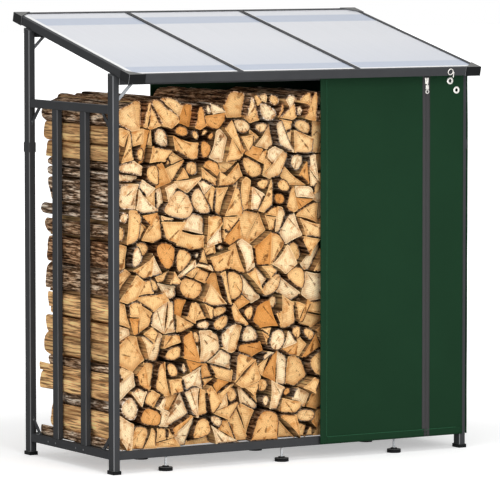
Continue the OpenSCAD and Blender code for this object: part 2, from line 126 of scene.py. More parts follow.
class CoverSettings(bpy.types.PropertyGroup):
    """Cloth cover, zip and eyelets."""
    cloth: colour_of("Cloth", "Coated woven cloth", "163320")
    thread: colour_of("Thread", "Thread of the hems", "347350")
    tape: colour_of("Zip tape", "Woven tape of the zip", "454445")
    nickel: colour_of("Nickel", "Plated rings, eyelets and slider", "DAD7D2")
    cloth_t: length_of("Cloth thickness", "Thickness of the coated cloth", 1.2)
    mesh_step: length_of("Mesh step", "Spacing of the cloth's mesh", 14.0)
    fold: length_of("Fold", "How far the soft folds stand out", 7.0)
    hem: length_of("Hem", "Width of the turned hems", 36.0)
    bore: FloatProperty(name="Bore", description="Hole of an eyelet, as a share of its width",
                        default=0.44, min=0.1, max=0.8)
    stitch: length_of("Stitch", "Length of one stitch, drawn coarse so that it shows", 6.0)
    tooth: length_of("Tooth", "Pitch of the zip's teeth, drawn coarse so that it shows", 6.0)
    slider: length_of("Slider", "Height of the zip slider's body", 31.0)
    pull: length_of("Pull", "Width of the slider's pull at its finger hole", 20.0)


class FirewoodSettings(bpy.types.PropertyGroup):
    """Split logs of the stack."""
    pale: colour_of("Pale wood", "Freshly sawn ends", "FFE8BC")
    tan: colour_of("Tan wood", "Most sawn ends", "F6CA8C")
    deep: colour_of("Deep wood", "Weathered ends", "DC9850")
    split: colour_of("Split wood", "Faces opened by the axe", "FCC68A")
    bark: colour_of("Bark", "Outer bark", "967E68")
    gap: length_of("Gap", "Least room left around a log", 2.2)
    gap_spread: length_of("Gap spread", "Most that a log's own gap adds", 3.2)
    sag: length_of("Sag", "Undersides within this of the rails rest on them", 8.0)
    step: length_of("Outline step", "Spacing of points around a log", 10.0)
    lump: length_of("Lump", "How far the outer logs swell and sink", 9.0)
    crown: length_of("Crown", "Logs that reach within this of the stack's top turn their bark up", 90.0)
    # How much of a sawn end turns darker orange brown towards its edge
    brink: FloatProperty(name="Brink", description="Weathered edge of a sawn end, as a share of the end",
                         default=0.4, min=0.0, max=0.9)
    rings: IntProperty(name="Rings", description="Cuts along a log", default=12, min=2, max=40)
    bark_t: length_of("Bark thickness", "Bark that shows round a sawn end", 5.0)
    bark_relief: length_of("Bark relief", "Depth of the bark's furrows", 6.0)
    split_relief: length_of("Split relief", "Depth of the torn fibres", 3.0)


class StageSettings(bpy.types.PropertyGroup):
    """Camera and studio."""
    azimuth: FloatProperty(name="Azimuth", description="Turn of the view to the left of the front",
                           default=math.radians(30.893), subtype="ANGLE")
    pitch: FloatProperty(name="Pitch", description="Downward tilt of the view",
                         default=math.radians(4.662), subtype="ANGLE")
    distance: FloatProperty(name="Distance", description="From the aim point to the camera",
                            default=18.654, unit="LENGTH")
    aim: FloatVectorProperty(name="Aim", description="Point at the picture's centre",
                             default=(0.0, -0.025, 0.9243), size=3, subtype="XYZ", unit="LENGTH")
    lens: FloatProperty(name="Lens", description="Focal length on a 36 mm sensor",
                        default=294.8, unit="CAMERA")
    floor: colour_of("Floor", "Pale studio floor", "EDEDED")


class LogStoreSettings(bpy.types.PropertyGroup):
    """All sizes and colours of the log store."""
    frame: PointerProperty(type=FrameSettings)
    roof: PointerProperty(type=RoofSettings)
    cover: PointerProperty(type=CoverSettings)
    wood: PointerProperty(type=FirewoodSettings)
    stage: PointerProperty(type=StageSettings)


def settings():
    """The scene's log store settings."""
    return bpy.context.scene.log_store


# Material helpers

def feed(tree, node, inputs):
    """Set or link a node's usable sockets by name or number."""
    for key, value in inputs.items():
        named = [socket for socket in node.inputs if socket.name == key and socket.enabled]
        socket = named[0] if named else node.inputs[key]
        if isinstance(value, bpy.types.NodeSocket):
            tree.links.new(value, socket)
        else:
            # A colour is given as RGB
            socket.default_value = (*value, 1.0) if socket.type == "RGBA" else value


def add(tree, kind, inputs=None, stops=(), **values):
    """Add a node with its settings, colour stops and links, and return its first usable output."""
    node = tree.nodes.new("ShaderNode" + kind)
    if kind == "Mix":
        # Every mix here is of colours
        node.data_type = "RGBA"
    for name, value in values.items():
        setattr(node, name, value)
    for index, (place, colour) in enumerate(stops):
        elements = node.color_ramp.elements
        stop = elements[index] if index < 2 else elements.new(place)
        stop.position = place
        stop.color = (*colour, 1.0)
    feed(tree, node, inputs or {})
    return next(socket for socket in node.outputs if socket.enabled)


def start_material(name):
    """A new material, its node tree and its Principled shader."""
    material = bpy.data.materials.new(name)
    material.use_nodes = True
    return material, material.node_tree, material.node_tree.nodes["Principled BSDF"]


def shade(colour, amount):
    """A colour made darker or lighter by a factor."""
    return [min(1.0, c * amount) for c in colour]


def wave_scale(spacing):
    """Wave Texture's scale for bands this far apart."""
    return 2 / (spacing * math.tau)


def here(tree, kind="Object"):
    """Where a surface lies, as Object coordinates in metres, or which way it faces, as its Normal."""
    return add(tree, "TexCoord").node.outputs[kind]


def upright_corner(tree):
    """How far a surface turns about a left front or right back corner: 0 on square faces, 1 halfway round. It
    is the mask of the painted corner highlight.
    """
    ways = add(tree, "SeparateXYZ", {"Vector": here(tree, "Normal")}).node.outputs
    both = add(tree, "Math", {0: ways["X"], 1: ways["Y"]}, operation="MULTIPLY")
    return add(tree, "MapRange", {"Value": both, "From Max": 0.5})


# Finishes of the frame

def satin_powder_coat(colour, worn):
    """Rolled steel tube, powder coated: satin charcoal, with faint orange peel and a painted highlight on the
    upright corners that face left front and right back.
    """
    material, tree, shader = start_material("satin_powder_coat")
    place = here(tree)
    cloud = add(tree, "TexNoise", {"Vector": place, "Scale": 1 / (90 * MM), "Detail": 3.0})
    # Orange peel is about 1 mm across, drawn at 4 mm so that it shows
    peel = add(tree, "TexNoise", {"Vector": place, "Scale": 1 / (4 * MM), "Detail": 1.0})
    tint = add(tree, "Mix", {"Factor": cloud, "A": shade(colour, 0.86), "B": shade(colour, 1.14)})
    rough = add(tree, "MapRange", {"Value": cloud, "To Min": 0.28, "To Max": 0.38})
    # Painted highlight: upright corners facing left front and right back are made lighter, standing in for
    # the lamps' glint on the rounded corners
    coat = add(tree, "Mix", {"Factor": upright_corner(tree), "A": tint, "B": worn})
    bump = add(tree, "Bump", {"Height": peel, "Strength": 0.12, "Distance": 0.3 * MM})
    feed(tree, shader, {"Base Color": coat, "Roughness": rough, "Normal": bump, "IOR": 1.06})
    return material


def moulded_black_plastic(colour, worn):
    """Injection-moulded polypropylene: near black and finely spark-textured, with a painted sheen where it
    faces up and a painted highlight on the roof caps' upright corners.
    """
    material, tree, shader = start_material("moulded_black_plastic")
    place = here(tree)
    # Spark texture is about 0.3 mm, drawn at 2 mm so that it shows
    grain = add(tree, "TexNoise", {"Vector": place, "Scale": 1 / (2 * MM), "Detail": 2.0})
    dust = add(tree, "TexNoise", {"Vector": place, "Scale": 1 / (45 * MM), "Detail": 4.0})
    tint = add(tree, "Mix", {"Factor": dust, "A": shade(colour, 0.8), "B": shade(colour, 1.25)})
    rough = add(tree, "MapRange", {"Value": dust, "To Min": 0.42, "To Max": 0.58})
    # Painted sheen: faces that turn up are made light grey, standing in for the reflection on their tops
    upward = add(tree, "SeparateXYZ", {"Vector": here(tree, "Normal")}).node.outputs["Z"]
    top_sheen = add(tree, "MapRange", {"Value": upward, "From Min": 0.8, "From Max": 0.95, "To Max": 0.6})
    top_sheened = add(tree, "Mix", {"Factor": top_sheen, "A": tint, "B": linear("8C8C8A")})
    height = add(tree, "SeparateXYZ", {"Vector": place}).node.outputs["Z"]
    # Painted highlight: only the roof's caps get a lighter line on their upright corners facing left front
    # and right back, standing in for a glint
    is_cap = add(tree, "Math", {0: height, 1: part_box("roof_corner_caps")[0].z}, operation="GREATER_THAN")
    cap_corner_highlight = add(tree, "Math", {0: is_cap, 1: upright_corner(tree)}, operation="MULTIPLY")
    cap_highlighted_coat = add(tree, "Mix", {"Factor": cap_corner_highlight, "A": top_sheened, "B": worn})
    bump = add(tree, "Bump", {"Height": grain, "Strength": 0.2, "Distance": 0.2 * MM})
    feed(tree, shader, {"Base Color": cap_highlighted_coat, "Roughness": rough, "Normal": bump, "IOR": 1.12})
    return material


def bright_zinc_plate(colour):
    """Zinc-plated steel: bright grey metal whose spangle breaks up the reflection."""
    material, tree, shader = start_material("bright_zinc_plate")
    # Spangle is 1 to 8 mm across
    spangle = add(tree, "TexVoronoi", {"Vector": here(tree), "Scale": 1 / (6 * MM)}).node.outputs["Color"]
    grey = add(tree, "RGBToBW", {"Color": spangle})
    tint = add(tree, "Mix", {"Factor": grey, "A": shade(colour, 0.82), "B": shade(colour, 1.12)})
    rough = add(tree, "MapRange", {"Value": grey, "To Min": 0.6, "To Max": 0.75})
    feed(tree, shader, {"Base Color": tint, "Roughness": rough, "Metallic": 1.0})
    return material


def tumbled_nickel(colour):
    """Nickel-plated brass: warm bright metal, tumbled, with a faint haze."""
    material, tree, shader = start_material("tumbled_nickel")
    # Tumbling marks are about 0.2 mm, drawn at 1.5 mm so that they show
    haze = add(tree, "TexNoise", {"Vector": here(tree), "Scale": 1 / (1.5 * MM), "Detail": 3.0})
    tint = add(tree, "Mix", {"Factor": haze, "A": shade(colour, 0.9), "B": shade(colour, 1.05)})
    rough = add(tree, "MapRange", {"Value": haze, "To Min": 0.38, "To Max": 0.5})
    feed(tree, shader, {"Base Color": tint, "Roughness": rough, "Metallic": 1.0})
    return material


def band_mask(tree, value, start, end, soft):
    """1 where a value lies between start and end, fading out over a soft edge."""
    off = add(tree, "Math", {0: value, 1: (start + end) / 2}, operation="SUBTRACT")
    away = add(tree, "Math", {0: off}, operation="ABSOLUTE")
    half = (end - start) / 2
    return add(tree, "MapRange", {"Value": away, "From Min": half + soft, "From Max": half})


def twin_wall_polycarbonate(colour, shaded, shades, rims):
    """Extruded twin-wall sheet: milky and glossy, with faint draw lines, bright rims and shade by the beams.

    Shades are (start, end) from front to back, front one first. Rims are (axis, start, end).
    """
    material, tree, shader = start_material("twin_wall_polycarbonate")
    place = here(tree)
    # Draw lines are 2 mm apart and run as long as the sheet
    along = add(tree, "Mapping", {"Vector": place, "Scale": (1 / (2 * MM), 1.5, 1.5)})
    lines = add(tree, "TexNoise", {"Vector": along, "Scale": 1.0, "Detail": 2.0})
    tint = add(tree, "Mix", {"Factor": lines, "A": shade(colour, 0.95), "B": shade(colour, 1.04)})
    ways = add(tree, "SeparateXYZ", {"Vector": place}).node.outputs
    # The beams below keep light from coming up through the sheet, and its front half gets less of it
    fall = add(tree, "MapRange", {"Value": ways["Y"], "From Min": 0.0, "From Max": shades[0][1],
                                  "To Max": 0.35})
    dims = [fall] + [band_mask(tree, ways["Y"], start, end, 14 * MM) for start, end in shades]
    for dim in dims:
        tint = add(tree, "Mix", {"Factor": dim, "A": tint, "B": shaded})
    # The sheet leads light to its rims
    for axis, start, end in rims:
        glow = band_mask(tree, ways[axis], start, end, 4 * MM)
        tint = add(tree, "Mix", {"Factor": glow, "A": tint, "B": WHITE})
    rough = add(tree, "MapRange", {"Value": lines, "To Min": 0.16, "To Max": 0.26})
    feed(tree, shader, {"Base Color": tint, "Roughness": rough, "IOR": 1.58, "Alpha": 0.82})
    return material


# Finishes of the cover

def coated_woven_cloth(colour):
    """Polyester weave with a coating on its back: dark green, faintly ribbed, with a low sheen."""
    material, tree, shader = start_material("coated_woven_cloth")
    flat = add(tree, "UVMap", uv_map="flat")
    # Yarn is 0.6 mm apart, drawn at 5 mm so that it shows
    warp = add(tree, "TexWave", {"Vector": flat, "Scale": wave_scale(5 * MM), "Distortion": 0.6},
               bands_direction="X")
    weft = add(tree, "TexWave", {"Vector": flat, "Scale": wave_scale(5 * MM), "Distortion": 0.6},
               bands_direction="Y")
    weave = add(tree, "Math", {0: warp, 1: weft}, operation="MULTIPLY")
    cloud = add(tree, "TexNoise", {"Vector": flat, "Scale": 1 / (260 * MM), "Detail": 4.0})
    tint = add(tree, "Mix", {"Factor": cloud, "A": shade(colour, 0.86), "B": shade(colour, 1.16)})
    yarn = add(tree, "Mix", {"Factor": weave, "A": tint, "B": shade(colour, 1.35)})
    blend = add(tree, "Mix", {"Factor": 0.35, "A": tint, "B": yarn})
    bump = add(tree, "Bump", {"Height": weave, "Strength": 0.25, "Distance": 0.4 * MM})
    feed(tree, shader, {"Base Color": blend, "Roughness": 0.62, "Normal": bump, "IOR": 1.15})
    return material


def twisted_thread(colour):
    """Polyester sewing thread: a lighter green than the cloth, with a twist along each stitch."""
    material, tree, shader = start_material("twisted_thread")
    # A twist is about 1 mm long, drawn at 3 mm so that it shows
    twist = add(tree, "TexWave", {"Vector": here(tree), "Scale": wave_scale(3 * MM)},
                bands_direction="DIAGONAL")
    tint = add(tree, "Mix", {"Factor": twist, "A": shade(colour, 0.75), "B": shade(colour, 1.1)})
    feed(tree, shader, {"Base Color": tint, "Roughness": 0.5, "IOR": 1.3})
    return material


def woven_zip_tape(colour):
    """Herringbone polyester tape: mid grey, matt, ribbed along its length."""
    material, tree, shader = start_material("woven_zip_tape")
    place = here(tree)
    # Ribs are 0.8 mm apart, drawn at 4 mm so that they show
    ribs = add(tree, "TexWave", {"Vector": place, "Scale": wave_scale(4 * MM), "Distortion": 1.0},
               bands_direction="DIAGONAL")
    tint = add(tree, "Mix", {"Factor": ribs, "A": shade(colour, 0.8), "B": shade(colour, 1.15)})
    bump = add(tree, "Bump", {"Height": ribs, "Strength": 0.3, "Distance": 0.3 * MM})
    feed(tree, shader, {"Base Color": tint, "Roughness": 0.75, "Normal": bump, "IOR": 1.15})
    return material


# Finishes of the firewood

def log_tone(tree):
    """The log's own shade, from 0 to 1."""
    return add(tree, "Attribute", attribute_name="tone").node.outputs["Fac"]


def weathered(tree, colour, inside, outside):
    """A wood colour made darker on logs inside the stack and lighter on those at its edges: the outer logs
    partly bleached by exposure and partly lightened as painted light, the inner logs' sides, which show only
    in the gaps, darkened as painted shade.
    """
    edge = add(tree, "Attribute", attribute_name="outer_log").node.outputs["Fac"]
    amount = add(tree, "MapRange", {"Value": edge, "To Min": inside, "To Max": outside})
    return add(tree, "Mix", {"Factor": 1.0, "A": colour, "B": amount}, blend_type="MULTIPLY")


def sawn_end_grain(pale, tan, deep):
    """Sawn log ends: pale tan, faint rings about the pith, orange stain and fine checks from the pith."""
    material, tree, shader = start_material("sawn_end_grain")
    place = here(tree)
    from_pith = add(tree, "UVMap", uv_map="grain")
    tone = log_tone(tree)
    wood = add(tree, "ValToRGB", {"Fac": tone}, stops=[
        (0.0, pale), (0.2, pale), (0.4, tan), (0.8, tan), (1.0, deep)])
    blot = add(tree, "TexNoise", {"Vector": place, "Scale": 1 / (26 * MM), "Detail": 4.0, "Roughness": 0.6})
    stain = add(tree, "MapRange", {"Value": blot, "From Min": 0.5, "From Max": 0.68, "To Max": 0.7})
    stained = add(tree, "Mix", {"Factor": stain, "A": wood, "B": linear("C9803A")})
    # Year rings are 2 to 4 mm wide, drawn at 9 mm so that they show
    wobble = add(tree, "TexNoise", {"Vector": place, "Scale": 1 / (30 * MM), "Detail": 1.0})
    reach = add(tree, "VectorMath", {0: from_pith}, operation="LENGTH")
    bent = add(tree, "Math", {0: wobble, 1: 8 * MM, 2: reach}, operation="MULTIPLY_ADD")
    turns = add(tree, "Math", {0: bent, 1: math.tau / (9 * MM)}, operation="MULTIPLY")
    wave = add(tree, "Math", {0: turns}, operation="SINE")
    ring = add(tree, "MapRange", {"Value": wave, "From Min": -1.0, "To Min": 0.0, "To Max": 0.2})
    ringed = add(tree, "Mix", {"Factor": ring, "A": stained, "B": linear("9A5F2A")})
    # Checks open with the distance from the pith
    aim = add(tree, "VectorMath", {0: from_pith}, operation="NORMALIZE")
    own = add(tree, "CombineXYZ", {"Z": tone})
    spun = add(tree, "VectorMath", {0: aim, 1: own, 2: (9.0, 9.0, 9.0)}, operation="MULTIPLY_ADD")
    round_pith = add(tree, "VectorMath", {0: aim, 1: spun}, operation="ADD")
    ray = add(tree, "TexNoise", {"Vector": round_pith, "Scale": 0.9, "Detail": 1.0})
    off = add(tree, "Math", {0: ray, 1: 0.5, 2: 0.013}, operation="COMPARE")
    patch = add(tree, "MapRange", {"Value": blot, "From Min": 0.46, "From Max": 0.56, "To Max": 0.8})
    check = add(tree, "Math", {0: off, 1: patch}, operation="MULTIPLY")
    checked = add(tree, "Mix", {"Factor": check, "A": ringed, "B": linear("5B3414")})
    heart = add(tree, "MapRange", {"Value": reach, "From Min": 1.5 * MM, "From Max": 4 * MM,
                                   "To Min": 0.7, "To Max": 0.0})
    cored = add(tree, "Mix", {"Factor": heart, "A": checked, "B": linear("6B3F1A")})
    # Towards its edge a sawn end turns darker orange brown, in patches
    edge = add(tree, "Attribute", attribute_name="brink").node.outputs["Fac"]
    # Flecks of dust and torn fibre are 1 to 3 mm, drawn at 6 mm so that they show
    fibre = add(tree, "TexNoise", {"Vector": place, "Scale": 1 / (6 * MM), "Detail": 4.0, "Roughness": 0.65})
    worn = add(tree, "Math", {0: edge, 1: fibre}, operation="MULTIPLY")
    rimmed = add(tree, "Mix", {"Factor": worn, "A": cored, "B": linear("A8642A")})
    fleck = add(tree, "MapRange", {"Value": fibre, "From Min": 0.3, "From Max": 0.7,
                                   "To Min": 0.84, "To Max": 1.14})
    final = add(tree, "Mix", {"Factor": 1.0, "A": rimmed, "B": fleck}, blend_type="MULTIPLY")
    bump = add(tree, "Bump", {"Height": fibre, "Strength": 0.35, "Distance": 0.8 * MM})
    feed(tree, shader, {"Base Color": final, "Roughness": 0.78, "Normal": bump, "IOR": 1.15})
    return material


def split_wood(colour):
    """Axe-split faces: honey coloured, with long torn fibres along the log."""
    material, tree, shader = start_material("split_wood")
    place = here(tree)
    tone = log_tone(tree)
    # Bundles of fibre are 4 mm wide, drawn at 9 mm so that they show, and run about 200 mm along the log
    along = add(tree, "Mapping", {"Vector": place, "Scale": (1 / (9 * MM), 1 / (200 * MM), 1 / (9 * MM))})
    fibre = add(tree, "TexNoise", {"Vector": along, "Scale": 1.0, "Detail": 4.0, "Roughness": 0.62})
    # Aged patches are about 45 mm wide and 200 mm long
    spread = add(tree, "Mapping", {"Vector": place, "Scale": (22.0, 5.0, 22.0)})
    broad = add(tree, "TexNoise", {"Vector": spread, "Scale": 1.0, "Detail": 3.0})
    streak = add(tree, "ValToRGB", {"Fac": fibre}, stops=[
        (0.4, shade(colour, 0.2)), (0.47, shade(colour, 0.58)),
        (0.53, colour), (0.61, shade(colour, 1.3))])
    age = add(tree, "MapRange", {"Value": broad, "From Min": 0.45, "From Max": 0.75, "To Max": 0.75})
    aged = add(tree, "Mix", {"Factor": age, "A": streak, "B": linear("86552E")})
    dim = add(tree, "MapRange", {"Value": tone, "To Min": 1.1, "To Max": 0.7})
    final = add(tree, "Mix", {"Factor": 1.0, "A": aged, "B": dim}, blend_type="MULTIPLY")
    bump = add(tree, "Bump", {"Height": fibre, "Strength": 0.6, "Distance": 2 * MM})
    # Partly bleaching and partly painted light and shade: split faces lighter on outer logs and darker on
    # inner ones
    feed(tree, shader, {"Base Color": weathered(tree, final, 0.8, 1.2), "Roughness": 0.8,
                        "Normal": bump, "IOR": 1.15})
    return material


def furrowed_bark(colour):
    """Furrowed bark: grey brown plates with pale ridges, aged by exposure, and dark furrows along the log."""
    material, tree, shader = start_material("furrowed_bark")
    place = here(tree)
    tone = log_tone(tree)
    # Plates are about 10 mm wide and 120 mm long
    along = add(tree, "Mapping", {"Vector": place, "Scale": (1 / (10 * MM), 1 / (120 * MM), 1 / (10 * MM))})
    plate = add(tree, "TexNoise", {"Vector": along, "Scale": 1.0, "Detail": 6.0, "Roughness": 0.66})
    furrow = add(tree, "TexVoronoi", {"Vector": along, "Scale": 1.2, "Randomness": 1.0},
                 feature="DISTANCE_TO_EDGE")
    ridge = add(tree, "ValToRGB", {"Fac": plate}, stops=[
        (0.38, shade(colour, 0.05)), (0.45, shade(colour, 0.35)),
        (0.51, colour), (0.58, linear("EEE6D8"))])
    crack = add(tree, "MapRange", {"Value": furrow, "From Max": 0.12, "To Min": 0.75, "To Max": 0.0})
    dark = add(tree, "Mix", {"Factor": crack, "A": ridge, "B": linear("1E130B")})
    # Some logs are grey and some red brown, and each has patches of the other, about 55 by 140 mm
    spread = add(tree, "Mapping", {"Vector": place, "Scale": (18.0, 7.0, 18.0)})
    patch = add(tree, "TexNoise", {"Vector": spread, "Scale": 1.0, "Detail": 2.0})
    mixed = add(tree, "Math", {0: tone, 1: patch}, operation="ADD")
    mood = add(tree, "MapRange", {"Value": mixed, "From Min": 0.4, "From Max": 1.6})
    hue = add(tree, "ValToRGB", {"Fac": mood}, stops=[
        (0.0, linear("F4F0EC")), (0.5, linear("E2C8AE")), (1.0, linear("CC9E78"))])
    final = add(tree, "Mix", {"Factor": 1.0, "A": dark, "B": hue}, blend_type="MULTIPLY")
    bump = add(tree, "Bump", {"Height": plate, "Strength": 0.8, "Distance": 3 * MM})
    # Partly bleaching and partly painted light and shade: bark lighter on outer logs and darker on inner ones
    feed(tree, shader, {"Base Color": weathered(tree, final, 0.6, 1.5), "Roughness": 0.9,
                        "Normal": bump, "IOR": 1.15})
    return material


def finish(maker, *colours):
    """A finish by its maker's name, made once."""
    made = bpy.data.materials.get(maker.__name__)
    return made or maker(*[list(colour) for colour in colours])


# Piece helpers

def make_piece(name, bm, materials, replaced=()):
    """Turn a bmesh into a piece that rides on the frame."""
    mesh = bpy.data.meshes.new(name)
    bm.to_mesh(mesh)
    bm.free()
    for material in materials:
        mesh.materials.append(material)
    obj = bpy.data.objects.new(name, mesh)
    bpy.context.scene.collection.objects.link(obj)
    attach(obj, "root")
    if replaced:
        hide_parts(*replaced)
    return obj


def join(bm, part):
    """Add one bmesh to another, and free it."""
    scrap = bpy.data.meshes.new("scrap")
    part.to_mesh(scrap)
    part.free()
    bm.from_mesh(scrap)
    bpy.data.meshes.remove(scrap)


def dress(node, material, radius):
    """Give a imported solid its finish, with its edges rounded."""
    solid = NODES[node]
    for slot in solid.material_slots:
        slot.material = material
    weld = solid.modifiers.new("Join faces", "WELD")
    weld.merge_threshold = TOUCH
    bevel = solid.modifiers.new("Edge radius", "BEVEL")
    bevel.width = radius
    bevel.segments = 3
    bevel.limit_method = "ANGLE"
    bevel.angle_limit = math.radians(40)
    bevel.harden_normals = True


def solids_of(node):
    """The vertices of each separate solid of a node, merged, as lists of points."""
    bm = bmesh.new()
    bm.from_mesh(NODES[node].data)
    bmesh.ops.remove_doubles(bm, verts=bm.verts, dist=TOUCH)
    left = dict.fromkeys(bm.verts)
    groups = []
    while left:
        group = [next(iter(left))]
        del left[group[0]]
        for vert in group:
            for edge in vert.link_edges:
                other = edge.other_vert(vert)
                if other in left:
                    del left[other]
                    group.append(other)
        groups.append([vert.co.copy() for vert in group])
    bm.free()
    return groups


def extent(points):
    """Lowest and highest corner of a list of points."""
    return [Vector([pick(p[axis] for p in points) for axis in range(3)]) for pick in (min, max)]


def turn_to(direction):
    """The turn that brings +Z to a direction."""
    return UP.rotation_difference(Vector(direction)).to_matrix().to_4x4()


def add_lathe(bm, profile, place, steps=16):
    """Spin a profile of (radius, height) points about +Z, closed at its ends, and put it in place."""
    before = set(bm.verts)
    verts = [bm.verts.new((r, 0, z)) for r, z in profile]
    edges = [bm.edges.new(pair) for pair in zip(verts, verts[1:])]
    bmesh.ops.spin(bm, geom=verts + edges, cent=(0, 0, 0), axis=(0, 0, 1),
                   angle=math.tau, steps=steps, use_merge=True)
    bmesh.ops.remove_doubles(bm, verts=[v for v in bm.verts if v not in before], dist=0.001 * MM)
    new = [v for v in bm.verts if v not in before]
    bmesh.ops.recalc_face_normals(bm, faces=list({f for v in new for f in v.link_faces}))
    bmesh.ops.transform(bm, matrix=place, verts=new)


def add_block(bm, size, place, radius=0.0, segments=2, flare=1.0):
    """A rounded block of a size, centred on its place, its top wider by the flare."""
    made = bmesh.ops.create_cube(bm, size=1.0, matrix=Matrix.Diagonal((*size, 1.0)))
    bmesh.ops.scale(bm, vec=(flare, 1.0, 1.0), verts=[vert for vert in made["verts"] if vert.co.z > 0])
    bmesh.ops.transform(bm, matrix=place, verts=made["verts"])
    if radius:
        edges = list({edge for vert in made["verts"] for edge in vert.link_edges})
        bmesh.ops.bevel(bm, geom=edges, offset=radius, segments=segments, profile=0.5,
                        affect="EDGES", material=-1)
    bm.verts.index_update()


# Frame

class LOGSTORE_OT_finish_frame(bpy.types.Operator):
    """Give the steel frame, its braces, caps and pads their finishes and rounded edges"""
    bl_idname = "log_store.finish_frame"
    bl_label = "Finish frame"

    def execute(self, context):
        look = settings().frame
        coat = finish(satin_powder_coat, look.steel, look.worn)
        for node in TUBE_NODES:
            dress(node, coat, look.slat_radius if node.startswith("slats") else look.tube_radius)
        for node in STRIP_NODES:
            dress(node, coat, look.strip_radius)
        dress("post_collars", coat, look.strip_radius / 2)
        plastic = finish(moulded_black_plastic, look.plastic, look.worn)
        for node in MOULDED_NODES:
            dress(node, plastic, look.cap_radius if node != "roof_corner_caps" else look.strip_radius)
        dress("knee_braces", finish(bright_zinc_plate, look.zinc), look.strip_radius)
        return {"FINISHED"}


def bolt_profile(width, rise):
    """A domed bolt head on its washer, as a lathe profile from the bearing face up."""
    radius = width / 2
    head = radius * 0.8
    washer = rise * 0.3
    dome = [(head * math.cos(a), washer + (rise - washer) * math.sin(a))
            for a in [math.radians(d) for d in (0, 30, 60)]]
    return [(0, 0), (radius, 0), (radius, washer)] + dome + [(0, rise)]


def brace_bolts(node, inset, outward):
    """Places of the bolts at both ends of each diagonal strip of a node."""
    places = []
    for points in solids_of(node):
        middle = sum(points, Vector()) / len(points)
        far = max(points, key=lambda p: (p - middle).length)
        run = far - middle
        run -= outward * run.dot(outward)
        # The strip runs along a 45 degree diagonal
        slope = Vector([0 if abs(c) < 1e-6 else math.copysign(1, c) for c in run]).normalized()
        face = max(p.dot(outward) for p in points)
        for sign in (-1, 1):
            tip = middle + sign * slope * (run.dot(slope) - inset)
            places.append((tip + outward * (face - tip.dot(outward)), outward))
    return places


class LOGSTORE_OT_add_bolts(bpy.types.Operator):
    """Add the domed bolts of the corner braces, the knee braces and the slats"""
    bl_idname = "log_store.add_bolts"
    bl_label = "Add bolts"

    def execute(self, context):
        look = settings().frame
        places = []
        for side, outward in (("left", LEFT), ("right", RIGHT)):
            places += brace_bolts("gussets_" + side, look.bolt_inset, outward)
        for side, outward in (("left", LEFT), ("right", RIGHT)):
            for slat in solids_of("slats_" + side):
                lo, hi = extent(slat)
                rail_lo, rail_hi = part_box("base_rail_" + side)
                face = rail_lo.x if outward.x < 0 else rail_hi.x
                for back in (0.0, look.bolt_pair):
                    spot = Vector((face, (lo.y + hi.y) / 2 + back, (rail_lo.z + rail_hi.z) / 2))
                    places.append((spot, outward))
        coat = finish(satin_powder_coat, look.steel, look.worn)
        zinc = finish(bright_zinc_plate, look.zinc)
        profile = bolt_profile(look.bolt_head, look.bolt_rise)
        knees = brace_bolts("knee_braces", look.bolt_inset, FRONT)
        for name, spots, material, slot in (
                ("frame_bolts", places, coat, "powder_coated_steel"),
                ("knee_brace_bolts", knees, zinc, "galvanised_steel")):
            bm = bmesh.new()
            for spot, outward in spots:
                add_lathe(bm, profile, Matrix.Translation(spot) @ turn_to(outward), steps=12)
            make_piece(name, bm, [material])
        return {"FINISHED"}


class LOGSTORE_OT_cut_threads(bpy.types.Operator):
    """Replace the plain levelling rods with threaded ones"""
    bl_idname = "log_store.cut_threads"
    bl_label = "Cut threads"

    def execute(self, context):
        look = settings().frame
        rods = bmesh.new()
        for points in solids_of("leveller_rods"):
            lo, hi = extent(points)
            middle = (lo + hi) / 2
            radius = (hi.x - lo.x) / 2
            root = radius - look.thread_pitch * 0.4
            length = hi.z - lo.z
            turns = round(length / look.thread_pitch)
            profile = [(0, 0)]
            for turn in range(turns):
                base = length * turn / turns
                profile += [(root, base), (radius, base + look.thread_pitch / 2)]
            profile += [(root, length), (0, length)]
            add_lathe(rods, profile, Matrix.Translation((middle.x, middle.y, lo.z)))
        bright = bright_zinc_plate(list(look.rod))
        make_piece("threaded_rods", rods, [bright], ["leveller_rods"])
        return {"FINISHED"}


# Roof

def roof_tilt():
    """Slope of the roof, from its front and back tubes."""
    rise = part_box("roof_tube_back")[0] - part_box("roof_tube_front")[0]
    return math.atan2(rise.z, rise.y)


